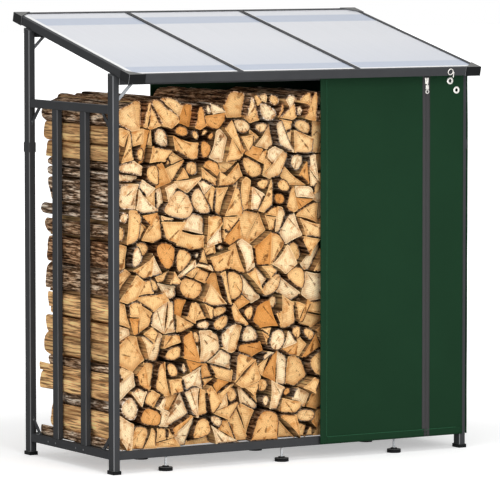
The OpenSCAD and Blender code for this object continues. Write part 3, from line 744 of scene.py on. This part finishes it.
class LOGSTORE_OT_glaze_roof(bpy.types.Operator):
    """Replace the plain roof sheets with twin-wall ones, two walls joined by ribs up the slope"""
    bl_idname = "log_store.glaze_roof"
    bl_label = "Glaze roof"

    def execute(self, context):
        look = settings().roof
        tilt = roof_tilt()
        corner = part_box(SHEET_NODES[0])[0]
        back_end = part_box("beam_back")[1].y
        shades = [(corner.y + look.rim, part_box("beam_front")[0].y), (back_end - look.shade_width, back_end)]
        rims = [("X", corner.x, corner.x + look.rim), ("Y", corner.y, corner.y + look.rim)]
        for bar in solids_of("glazing_bars"):
            side = extent(bar)[1].x
            rims.append(("X", side, side + look.rim / 3))
        clear = twin_wall_polycarbonate(look.sheet, look.shaded, shades, rims)
        for node in SHEET_NODES:
            lo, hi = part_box(node)
            size = hi - lo
            spread = math.cos(2 * tilt)
            length = (size.y * math.cos(tilt) - size.z * math.sin(tilt)) / spread
            thick = (size.z * math.cos(tilt) - size.y * math.sin(tilt)) / spread
            foot = Matrix.Translation((lo.x, lo.y + thick * math.sin(tilt), lo.z))
            seat = foot @ Matrix.Rotation(tilt, 4, "X")
            bm = bmesh.new()
            for height in (look.wall / 2, thick - look.wall / 2):
                middle = Matrix.Translation((size.x / 2, length / 2, height))
                add_block(bm, (size.x, length, look.wall), seat @ middle)
            ribs = round(size.x / look.flute)
            for rib in range(ribs + 1):
                across = look.wall / 2 + (size.x - look.wall) * rib / ribs
                middle = Matrix.Translation((across, length / 2, thick / 2))
                add_block(bm, (look.wall, length, thick - 2 * look.wall), seat @ middle)
            make_piece(node.replace("roof_sheet", "twin_wall_sheet"), bm, [clear], [node])
        return {"FINISHED"}


# Cover

def ease(distance, reach):
    """A smooth step from 0 to 1 over a reach."""
    t = max(0.0, min(1.0, distance / reach))
    return t * t * (3 - 2 * t)


class CoverPanel:
    """One flat panel of the cover: a corner, its way across, its outward side and its two heights."""

    def __init__(self, corner, across, outward, width, height_first, height_last, seed):
        self.corner = corner
        self.across = across
        self.outward = outward
        self.width = width
        self.height_first = height_first
        self.height_last = height_last
        self.seed = seed

    def height(self, u):
        """Height of the panel at a distance across it."""
        return self.height_first + (self.height_last - self.height_first) * u / self.width

    def fold(self, u, v):
        """How far the cloth stands out at u across and v up."""
        look = settings().cover
        # Slow waves are about 300 mm wide, tight ones 110 mm and small ones 40 mm
        slow = noise.noise(Vector((u * 3.1 + self.seed, v * 0.7, self.seed)))
        tight = noise.noise(Vector((u * 9.0 - v * 1.6, v * 1.9 + self.seed, 3.0)))
        small = noise.noise(Vector((u * 24.0, v * 9.0 + self.seed, 7.0)))
        wave = 0.5 + 0.42 * slow + 0.18 * tight + 0.05 * small
        # The cloth lies flat at its top and at its fixed edge
        held = ease(self.height(u) - v, 0.3) * ease(self.width - u, 0.12)
        return look.fold * max(0.0, wave) * held

    def point(self, u, v, lift=0.0):
        """A point on the cloth at u across and v up, lifted off its face."""
        out = self.fold(u, v) + lift
        return self.corner + self.across * u + UP * v + self.outward * out


def front_panel():
    """The front panel, from its free edge to the right post."""
    lo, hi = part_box("cover_front")
    return CoverPanel(Vector((lo.x, hi.y, lo.z)), RIGHT, FRONT, hi.x - lo.x, hi.z - lo.z, hi.z - lo.z, 1.7)


def back_panel():
    """The back panel, from its free edge to the right post."""
    lo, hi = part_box("cover_back")
    return CoverPanel(Vector(lo), RIGHT, BACK, hi.x - lo.x, hi.z - lo.z, hi.z - lo.z, 5.3)


def side_panel():
    """The end panel, whose top follows the roof."""
    lo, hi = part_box("cover_side")
    front_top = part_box("cover_front")[1].z
    return CoverPanel(Vector(lo), BACK, RIGHT, hi.y - lo.y, front_top - lo.z, hi.z - lo.z, 8.9)


def cloth_grid(panel, u0, u1, v0, v1, lift):
    """A grid of cloth over part of a panel, with a UV map in metres; v runs from 0 to 1."""
    look = settings().cover
    columns = max(2, round((u1 - u0) / look.mesh_step))
    rows = max(2, round((v1 - v0) * panel.height_last / look.mesh_step))
    bm = bmesh.new()
    flat = bm.loops.layers.uv.new("flat")
    bmesh.ops.create_grid(bm, x_segments=columns, y_segments=rows, size=0.5)
    spots = {}
    for vert in bm.verts:
        u = u0 + (vert.co.x + 0.5) * (u1 - u0)
        v = v0 + (vert.co.y + 0.5) * (v1 - v0)
        spots[vert] = (u, v * panel.height(u))
        vert.co = panel.point(*spots[vert], lift)
    for face in bm.faces:
        face.smooth = True
        for loop in face.loops:
            loop[flat].uv = spots[loop.vert]
    bmesh.ops.recalc_face_normals(bm, faces=bm.faces)
    if sum(face.normal.dot(panel.outward) for face in bm.faces) < 0:
        bmesh.ops.reverse_faces(bm, faces=bm.faces)
    return bm


def thicken(obj):
    """Give a piece of cloth its thickness, outwards from its mesh."""
    solid = obj.modifiers.new("Cloth thickness", "SOLIDIFY")
    solid.thickness = settings().cover.cloth_t
    solid.offset = 1.0


def stitch_row(bm, panel, start, end, lift):
    """A row of stitches on a panel, between two points given as across and up."""
    look = settings().cover
    run = Vector(end) - Vector(start)
    size = (1.4 * MM, 0.9 * MM, look.stitch * 0.62)
    count = int(run.length / look.stitch)
    for index in range(count):
        at = Vector(start) + run * ((index + 0.5) / count)
        ahead = at + run.normalized() * look.stitch / 2
        here_at = panel.point(at.x, at.y, lift)
        way = (panel.point(ahead.x, ahead.y, lift) - here_at).normalized()
        side = panel.outward.cross(way).normalized()
        turn = Matrix((side, panel.outward, way)).transposed().to_4x4()
        add_block(bm, size, Matrix.Translation(here_at) @ turn)


def cut_hole(bm, centre, radius):
    """Refine a cloth mesh about a point and open a hole in it."""
    reach = settings().cover.mesh_step + radius
    near = [edge for edge in bm.edges
            if (sum((vert.co for vert in edge.verts), Vector()) / 2 - centre).length < reach]
    bmesh.ops.subdivide_edges(bm, edges=near, cuts=5, use_grid_fill=True)
    inside = [face for face in bm.faces if (face.calc_center_median() - centre).length < radius]
    bmesh.ops.delete(bm, geom=inside, context="FACES")


def eyelet_spots(panel):
    """Places of the eyelets on the front panel, as (across, up, outer radius)."""
    spots = []
    for points in solids_of("cover_eyelets"):
        lo, hi = extent(points)
        middle = (lo + hi) / 2 - panel.corner
        spots.append((middle.x, middle.z, (hi.x - lo.x) / 2))
    return spots


def hem_strips(panel):
    """Parts of a panel that are turned over as hems, as (u0, u1, v0, v1) with v from 0 to 1."""
    hem = settings().cover.hem
    share = hem / panel.height_first
    return [(0.0, hem, 0.0, 1.0), (hem, panel.width, 0.0, share)]


class LOGSTORE_OT_hang_cover(bpy.types.Operator):
    """Hang the three cloth panels, with soft folds, turned hems and their stitching"""
    bl_idname = "log_store.hang_cover"
    bl_label = "Hang cover"

    def execute(self, context):
        look = settings().cover
        cloth = finish(coated_woven_cloth, look.cloth)
        rows = {
            "front": (front_panel(), "cover_front", ["beam_front", "post_front_right"]),
            "side": (side_panel(), "cover_side", ["roof_tube_right", "post_front_right"]),
            "back": (back_panel(), "cover_back", ["beam_back", "post_back_right"]),
        }
        for side, (panel, node, carried_by) in rows.items():
            name = side + "_cover"
            sheet = cloth_grid(panel, 0.0, panel.width, 0.0, 1.0, 0.0)
            for u, v, radius in eyelet_spots(panel) if side == "front" else ():
                cut_hole(sheet, panel.point(u, v), radius * look.bore)
            piece = make_piece(name, sheet, [cloth], [node])
            thicken(piece)
            hems = bmesh.new()
            hems.loops.layers.uv.new("flat")
            for strip in hem_strips(panel):
                join(hems, cloth_grid(panel, *strip, look.cloth_t))
            hem_piece = make_piece(side + "_cover_hems", hems, [cloth])
            thicken(hem_piece)
            thread = bmesh.new()
            seam = look.hem - SEAM
            lift = look.cloth_t * 2
            stitch_row(thread, panel, (seam, look.hem), (seam, panel.height(seam) - look.hem), lift)
            stitch_row(thread, panel, (look.hem, seam), (panel.width - look.hem, seam), lift)
            stitches = make_piece(side + "_cover_stitches", thread, [finish(twisted_thread, look.thread)])
        return {"FINISHED"}


class LOGSTORE_OT_fit_zip(bpy.types.Operator):
    """Fit the zip: its tape, its row of teeth, and the slider with its pull"""
    bl_idname = "log_store.fit_zip"
    bl_label = "Fit zip"

    def execute(self, context):
        look = settings().cover
        panel = front_panel()
        lo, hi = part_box("cover_zip")
        u0 = lo.x - panel.corner.x
        u1 = hi.x - panel.corner.x
        middle = (u0 + u1) / 2
        # The tape lies on the cloth, and the rest on the tape's face
        face = look.cloth_t * 2
        woven = [finish(woven_zip_tape, look.tape)]
        grid = cloth_grid(panel, u0, u1, 0.0, 1.0, look.cloth_t)
        thicken(make_piece("zip_tape", grid, woven, ["cover_zip"]))
        teeth = bmesh.new()
        tooth = (7 * MM, 1.8 * MM, look.tooth * 0.7)
        stagger = 1.5 * MM
        tooth_rise = 0.8 * MM
        for index in range(int((hi.z - lo.z) / look.tooth)):
            side = -1 if index % 2 else 1
            at = panel.point(middle + side * stagger, (index + 0.5) * look.tooth, face + tooth_rise)
            add_block(teeth, tooth, Matrix.Translation(at))
        make_piece("zip_teeth", teeth, woven)
        stop = bmesh.new()
        stop_size = (24 * MM, 3 * MM, look.tooth)
        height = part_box("zip_slider")[1].z - panel.corner.z + look.tooth
        at = panel.point(middle, height, face + stop_size[1] / 2)
        add_block(stop, stop_size, Matrix.Translation(at), 0.8 * MM)
        coat = settings().frame
        plastic = finish(moulded_black_plastic, coat.plastic, coat.worn)
        make_piece("zip_top_stop", stop, [plastic])
        seams = bmesh.new()
        end_room = 20 * MM
        for u in (u0 + SEAM, u1 - SEAM):
            stitch_row(seams, panel, (u, end_room), (u, panel.height(u) - end_room), face)
        make_piece("zip_stitches", seams, woven)
        self.fit_slider(panel, middle, face + tooth[1])
        return {"FINISHED"}

    def fit_slider(self, panel, middle, lift):
        """The slider's body, wider at its top, its bridge, and its pull with a finger hole."""
        look = settings().cover
        lo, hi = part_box("zip_slider")
        top = hi.z - panel.corner.z
        foot = lo.z - panel.corner.z
        eye = look.pull / 2
        pull_top = top - look.slider - 3 * MM
        plate = pull_top - foot - eye
        body_at = panel.point(middle, top - look.slider / 2, lift + 2 * MM)
        bridge_at = body_at + panel.outward * 3.5 * MM
        # The pull hangs from the bridge by a narrow neck
        pull_lift = lift + 6 * MM
        neck_at = panel.point(middle, top - look.slider, pull_lift)
        flag_at = panel.point(middle, pull_top - plate / 2, pull_lift) + UP * eye / 2
        bm = bmesh.new()
        for size, at, radius, flare in (
                ((15 * MM, 5 * MM, look.slider), body_at, 1.8 * MM, 1.5),
                ((5 * MM, 4 * MM, look.slider * 0.7), bridge_at, 1.5 * MM, 1.0),
                ((4 * MM, 2 * MM, 16 * MM), neck_at, 0.9 * MM, 1.0),
                ((look.pull * 0.8, 2.4 * MM, plate - eye), flag_at, 0.9 * MM, 1.0)):
            add_block(bm, size, Matrix.Translation(at), radius, flare=flare)
        hole = eye * 0.58
        rim = eye - 1 * MM
        half = 1.2 * MM
        edge = 0.4 * MM
        profile = [(hole, -half), (hole, half), (rim, half), (eye, edge),
                   (eye, -edge), (rim, -half), (hole, -half)]
        ring = panel.point(middle, foot + eye, pull_lift)
        add_lathe(bm, profile, Matrix.Translation(ring) @ turn_to(panel.outward), steps=24)
        nickel = finish(tumbled_nickel, look.nickel)
        make_piece("zip_slider_and_pull", bm, [nickel], ["zip_slider"])


class LOGSTORE_OT_set_eyelets(bpy.types.Operator):
    """Set the rolled eyelets and finish the hanging ring and its link"""
    bl_idname = "log_store.set_eyelets"
    bl_label = "Set eyelets"

    def execute(self, context):
        look = settings().cover
        nickel = finish(tumbled_nickel, look.nickel)
        panel = front_panel()
        bm = bmesh.new()
        rise = 3 * MM
        for u, v, outer in eyelet_spots(panel):
            bore = outer * look.bore
            profile = [(bore, -rise), (bore, rise * 0.6)]
            profile += [(bore + (outer - bore) * (0.5 - 0.5 * math.cos(a)), rise * (0.6 + 0.4 * math.sin(a)))
                        for a in [math.radians(d) for d in (45, 90, 135)]]
            profile += [(outer, rise * 0.3), (outer, -rise * 0.2), (bore, -rise)]
            spot = panel.point(u, v, look.cloth_t)
            add_lathe(bm, profile, Matrix.Translation(spot) @ turn_to(panel.outward), steps=28)
        for face in bm.faces:
            face.smooth = True
        make_piece("rolled_eyelets", bm, [nickel], ["cover_eyelets"])
        for node in ("hanging_ring", "ring_link"):
            for slot in NODES[node].material_slots:
                slot.material = nickel
        return {"FINISHED"}


# Firewood

END, SPLIT, BARK = range(3)
# What each point of a log carries: resting, bark, the log's own tone, its end's edge and whether it is an
# outer log
LOG_VALUES = ("rest", "bark", "tone", "brink", "outer_log")
# Logs at least this compact may be round, and this share of them is
ROUND_SHAPE = 0.7
ROUND_SHARE = 0.5
# Share of the logs that keep their bark, inside the stack and at its left end
BARK_INSIDE = 0.8
BARK_OUTSIDE = 0.36
# A point within this of a line lies on it
ON_LINE = 0.2 * MM
# Least setback of a log's ends, and how far they may lean across and up, at the front and at the back
SETBACK = 8 * MM
LEANS = (0.15, 0.15, 0.4, 0.4)


def start_outline(bm, cell, gap, step):
    """A flat face of a log's outline in X and Z, inset by a gap, with points every step."""
    face = bm.faces.new([bm.verts.new((p.x, 0, p.z)) for p in cell])
    bmesh.ops.inset_individual(bm, faces=[face], thickness=gap, use_even_offset=True)
    bmesh.ops.delete(bm, geom=[f for f in bm.faces if f is not face], context="FACES")
    corners = [vert.co.copy() for vert in face.verts]
    sharpest = min(face.loops, key=lambda loop: loop.calc_angle()).vert.co.copy()
    for edge in list(face.edges):
        cuts = int(edge.calc_length() / step)
        if cuts:
            bmesh.ops.subdivide_edges(bm, edges=[edge], cuts=cuts)
    return corners, corners.index(sharpest)


def near_line(point, start, end):
    """How far a point lies from a line, and how far along it, from 0 to 1."""
    run = end - start
    share = (point - start).dot(run) / run.length_squared
    return (point - start - run * share).length, share


def log_values(bm):
    """The values that a log's points carry, made where they are missing."""
    layers = bm.verts.layers.float
    return [layers.get(name) or layers.new(name) for name in LOG_VALUES]


def soften(bm, verts, factor, times):
    """Draw points towards their neighbours a number of times."""
    for _ in range(times if verts else 0):
        bmesh.ops.smooth_vert(bm, verts=verts, factor=factor,
                              use_axis_x=True, use_axis_y=True, use_axis_z=True)


def mostly(face, value):
    """Whether more than half of a face carries a value."""
    return sum(vert[value] for vert in face.verts) / len(face.verts) > 0.5


def split_outline(bm, edges, hollow, middle, outer, has_bark, is_round):
    """Mark the bark and the split faces of an outline, and make the split faces a little hollow."""
    rest, bark = log_values(bm)[:2]
    for vert in bm.verts:
        vert[bark] = 1.0
        off = min(near_line(vert.co, *edge) for edge in edges)[0]
        shown = outer and has_bark and (vert.co - middle).dot(outer) > 0
        if not is_round and not shown and (not has_bark or off < ON_LINE):
            vert[bark] = 0.0
    for vert in bm.verts:
        for edge, depth in zip(edges, hollow):
            off, share = near_line(vert.co, *edge)
            if not is_round and not vert[rest] and off < ON_LINE:
                pull = (middle - (edge[0] + edge[1]) / 2).normalized()
                vert.co += pull * depth * (edge[1] - edge[0]).length * 4 * share * (1 - share)
                break


def roughen(bm, middle, outer, shift, look):
    """Press bark furrows, torn fibres and the lumps of outer logs into a log's sides."""
    rest, bark = log_values(bm)[:2]
    for vert in bm.verts:
        out = Vector((vert.co.x - middle.x, 0, vert.co.z - middle.z)).normalized()
        spot = vert.co + Vector((shift, shift, 0))
        # Ridges are about 14 mm wide and 200 mm long, lumps 55 by 110 mm and torn fibres 8 by 400 mm
        ridge = noise.noise(Vector((spot.x * 70, spot.y * 5, spot.z * 70)))
        lump = noise.noise(Vector((spot.x * 18, spot.y * 9, spot.z * 18)))
        tear = noise.noise(Vector((spot.x * 130, spot.y * 2.5, spot.z * 130)))
        bulk = look.lump * lump * max(0.0, out.dot(outer)) if outer else 0.0
        furrow = look.bark_relief * (0.35 + 0.4 * ridge + 0.25 * lump) + bulk
        fibre = look.split_relief * (0.4 + 0.5 * tear + 0.2 * lump) + bulk
        vert.co -= out * (1 - vert[rest]) * max(0.0, furrow * vert[bark] + fibre * (1 - vert[bark]))


def saw_ends(bm, front, back, middle, pith, lean, look):
    """Set a log's ends out of square, and give them a rim of bark, an edge that turns darker orange brown,
    and their grain.
    """
    _rest, bark, _tone, brink, _outer_log = log_values(bm)
    for vert in bm.verts:
        offset = vert.co - middle
        if vert.co.y < front + 0.1 * MM:
            vert.co.y += max(0.0, SETBACK + offset.x * lean[0] + offset.z * lean[1])
        elif vert.co.y > back - 0.1 * MM:
            vert.co.y -= max(0.0, SETBACK + offset.x * lean[2] + offset.z * lean[3])
    ends = [face for face in bm.faces if len(face.verts) > 4 or abs(face.normal.y) > 0.8]
    for side in bm.faces:
        side.smooth = True
        side.material_index = BARK if mostly(side, bark) else SPLIT
    rims = bmesh.ops.inset_individual(bm, faces=ends, thickness=look.bark_t, use_even_offset=False)["faces"]
    for rim in rims:
        rim.material_index = BARK if mostly(rim, bark) else END
    for sawn in list(ends):
        sawn.material_index = END
        for vert in sawn.verts:
            vert[brink] = 1.0
        ends += bmesh.ops.inset_individual(bm, faces=[sawn], thickness=0.0)["faces"]
        bmesh.ops.scale(bm, vec=[1 - look.brink] * 3, verts=sawn.verts,
                        space=Matrix.Translation(-sawn.calc_center_median()))
        for vert in sawn.verts:
            vert[brink] = 0.0
    grain = bm.loops.layers.uv.new("grain")
    for sawn in ends + rims:
        sawn.smooth = False
        for loop in sawn.loops:
            loop.edge.smooth = False
            loop[grain].uv = (loop.vert.co.x - pith.x, loop.vert.co.z - pith.z)


def build_log(cell, front, back, seat, outer, rng, look):
    """One log as a bmesh: split faces meet at one corner, and bark closes the rest.

    seat is the height that the stack stands on, where a log's underside stays flat. outer is the way
    out of the stack for a log at its edge, which turns its bark that way, or None.
    """
    bm = bmesh.new()
    rest, bark, tone, _brink, outer_log = log_values(bm)
    corners, tip = start_outline(bm, cell, look.gap + look.gap_spread * rng.random(), look.step)
    middle = sum(corners, Vector()) / len(corners)
    face = bm.faces[:][0]
    compact = 4 * math.pi * face.calc_area() / face.calc_perimeter() ** 2
    is_round = compact > ROUND_SHAPE and rng.random() < ROUND_SHARE
    has_bark = rng.random() < (BARK_INSIDE if outer is None else BARK_OUTSIDE) or outer == UP
    if outer:
        tip = min(range(len(corners)), key=lambda index: corners[index].dot(outer))
    pith = middle.copy() if is_round else corners[tip].copy()
    edges = [(corners[tip], corners[tip - 1]), (corners[tip], corners[(tip + 1) % len(corners)])]
    hollow = [rng.uniform(-0.01, 0.07) for _ in edges]
    for vert in bm.verts:
        if vert.co.z < seat + look.sag:
            vert[rest] = 1.0
            vert.co.z = seat
    split_outline(bm, edges, hollow, middle, outer, has_bark, is_round)
    loose = [vert for vert in bm.verts if not vert[rest]]
    rough = [vert for vert in loose if vert[bark] > 0.5]
    worn = [vert for vert in loose if outer and (vert.co - middle).dot(outer) > 0]
    for verts, factor, times in ((rough, 0.5, 20 if is_round else 3), (worn, 0.5, 8), (loose, 0.3, 1)):
        soften(bm, verts, factor, times)
    # The outline becomes the front end, and its copy the back end
    bmesh.ops.translate(bm, verts=bm.verts[:], vec=(0, front, 0))
    grown = bmesh.ops.extrude_face_region(bm, geom=[face], use_keep_orig=True)["geom"]
    far = [item for item in grown if isinstance(item, bmesh.types.BMVert)]
    bmesh.ops.translate(bm, verts=far, vec=(0, back - front, 0))
    bmesh.ops.recalc_face_normals(bm, faces=bm.faces[:])
    long_edges = [e for e in bm.edges if abs(e.verts[0].co.y - e.verts[1].co.y) > (back - front) / 2]
    bmesh.ops.subdivide_edges(bm, edges=long_edges, cuts=look.rings, use_grid_fill=True)
    bm.normal_update()
    roughen(bm, middle, outer, rng.uniform(0, 40), look)
    lean = [rng.uniform(-slant, slant) for slant in LEANS]
    saw_ends(bm, front, back, middle, pith, lean, look)
    own_tone = rng.random()
    for vert in bm.verts:
        vert[tone] = own_tone
        # Outer logs carry the mark for wood that is lightened, partly as painted light
        vert[outer_log] = 1.0 if outer else 0.0
    return bm


class LOGSTORE_OT_stack_firewood(bpy.types.Operator):
    """Replace each layer of plain logs with split ones, with bark, torn faces and sawn ends"""
    bl_idname = "log_store.stack_firewood"
    bl_label = "Stack firewood"

    def execute(self, context):
        look = settings().wood
        finishes = [finish(sawn_end_grain, look.pale, look.tan, look.deep),
                    finish(split_wood, look.split), finish(furrowed_bark, look.bark)]
        left = min(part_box(node)[0].x for node in LAYER_NODES)
        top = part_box(LAYER_NODES[-1])[1].z
        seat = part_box(LAYER_NODES[0])[0].z
        for node in LAYER_NODES:
            layer = bmesh.new()
            for index, points in enumerate(solids_of(node)):
                lo, hi = extent(points)
                cell = [p for p in points if p.y < (lo.y + hi.y) / 2]
                centre = sum(cell, Vector()) / len(cell)
                cell.sort(key=lambda p: math.atan2(p.z - centre.z, p.x - centre.x))
                outer = None
                if lo.x < left + look.gap:
                    outer = LEFT
                elif hi.z > top - look.crown:
                    outer = UP
                rng = random.Random(f"{node} {index}")
                join(layer, build_log(cell, lo.y, hi.y, seat, outer, rng, look))
            make_piece(node.replace("firewood_layer", "split_logs"), layer, finishes, [node])
        return {"FINISHED"}


# Stage

class LOGSTORE_OT_set_stage(bpy.types.Operator):
    """Set the pale floor, the soft light and the camera"""
    bl_idname = "log_store.set_stage"
    bl_label = "Set stage"

    def execute(self, context):
        look = settings().stage
        scene = context.scene
        scene.view_settings.view_transform = "Standard"
        self.lay_floor(look)
        self.light(scene)
        camera = bpy.data.objects.new("camera", bpy.data.cameras.new("camera"))
        scene.collection.objects.link(camera)
        sight = Vector((math.sin(look.azimuth) * math.cos(look.pitch),
                        math.cos(look.azimuth) * math.cos(look.pitch), -math.sin(look.pitch)))
        camera.location = Vector(look.aim) - sight * look.distance
        camera.rotation_euler = sight.to_track_quat("-Z", "Y").to_euler()
        camera.data.lens = look.lens
        camera.data.clip_end = 200.0
        scene.camera = camera
        return {"FINISHED"}

    def lay_floor(self, look):
        """A wide pale floor that shows white to the eye and keeps the shadow."""
        bm = bmesh.new()
        bmesh.ops.create_grid(bm, x_segments=1, y_segments=1, size=60.0)
        mesh = bpy.data.meshes.new("floor")
        bm.to_mesh(mesh)
        bm.free()
        floor = bpy.data.objects.new("floor", mesh)
        bpy.context.scene.collection.objects.link(floor)
        material, tree, shader = start_material("studio_floor")
        # The floor turns to plain white with the distance from the store
        away = add(tree, "VectorMath", {0: here(tree)}, operation="LENGTH")
        fade = add(tree, "MapRange", {"Value": away, "From Min": 1.5, "From Max": 4.0,
                                      "To Min": ROOM_LIGHT, "To Max": 1.0})
        glow = add(tree, "Math", {0: self.seen(tree), 1: fade}, operation="MULTIPLY")
        feed(tree, shader, {"Base Color": look.floor, "Roughness": 0.9,
                            "Emission Color": WHITE, "Emission Strength": glow})
        mesh.materials.append(material)

    def seen(self, tree):
        """1 for rays that show the background: from the eye, or by reflection or through a sheet."""
        path = add(tree, "LightPath").node
        direct = add(tree, "Math", {0: path.outputs["Is Camera Ray"], 1: path.outputs["Is Glossy Ray"]},
                     operation="MAXIMUM")
        return add(tree, "Math", {0: direct, 1: path.outputs["Is Transmission Ray"]}, operation="MAXIMUM")

    def light(self, scene):
        """A white room and three large soft lamps, in front, on the left and overhead."""
        world = bpy.data.worlds.new("studio")
        scene.world = world
        world.use_nodes = True
        tree = world.node_tree
        strength = add(tree, "MapRange", {"Value": self.seen(tree), "To Min": ROOM_LIGHT, "To Max": 1.0})
        feed(tree, tree.nodes["Background"], {"Color": WHITE, "Strength": strength})
        for name, spot, aim, size, watts in (
                ("front_lamp", (-1.0, -6.5, 2.6), (0.0, 0.0, 0.9), 3.5, 262.0),
                ("left_lamp", (-6.0, -2.0, 2.4), (0.0, 0.0, 0.9), 3.0, 30.0),
                ("top_lamp", (-0.5, -1.0, 6.5), (0.0, 0.0, 0.5), 4.0, 125.0)):
            lamp = bpy.data.objects.new(name, bpy.data.lights.new(name, "AREA"))
            scene.collection.objects.link(lamp)
            lamp.data.size = size
            lamp.data.energy = watts
            lamp.location = spot
            lamp.rotation_euler = (Vector(aim) - Vector(spot)).to_track_quat("-Z", "Y").to_euler()


OPERATORS = (
    LOGSTORE_OT_set_stage, LOGSTORE_OT_finish_frame, LOGSTORE_OT_add_bolts, LOGSTORE_OT_cut_threads,
    LOGSTORE_OT_glaze_roof, LOGSTORE_OT_hang_cover, LOGSTORE_OT_fit_zip, LOGSTORE_OT_set_eyelets,
    LOGSTORE_OT_stack_firewood,
)


class LOGSTORE_PT_panel(bpy.types.Panel):
    """Lists the steps of the log store in the sidebar"""
    bl_label = "Log store"
    bl_idname = "LOGSTORE_PT_panel"
    bl_space_type = "VIEW_3D"
    bl_region_type = "UI"
    bl_category = "Log store"

    def draw(self, context):
        for operator in OPERATORS:
            self.layout.operator(operator.bl_idname)


CLASSES = (FrameSettings, RoofSettings, CoverSettings, FirewoodSettings, StageSettings,
           LogStoreSettings, *OPERATORS, LOGSTORE_PT_panel)


def register():
    """Add the classes and the scene's settings."""
    for cls in CLASSES:
        bpy.utils.register_class(cls)
    bpy.types.Scene.log_store = PointerProperty(type=LogStoreSettings)


def unregister():
    """Take the settings and the classes away."""
    del bpy.types.Scene.log_store
    for cls in reversed(CLASSES):
        bpy.utils.unregister_class(cls)


def main():
    """Build every piece in order."""
    register()
    for operator in OPERATORS:
        group, name = operator.bl_idname.split(".")
        getattr(getattr(bpy.ops, group), name)()


if __name__ == "__main__":
    main()
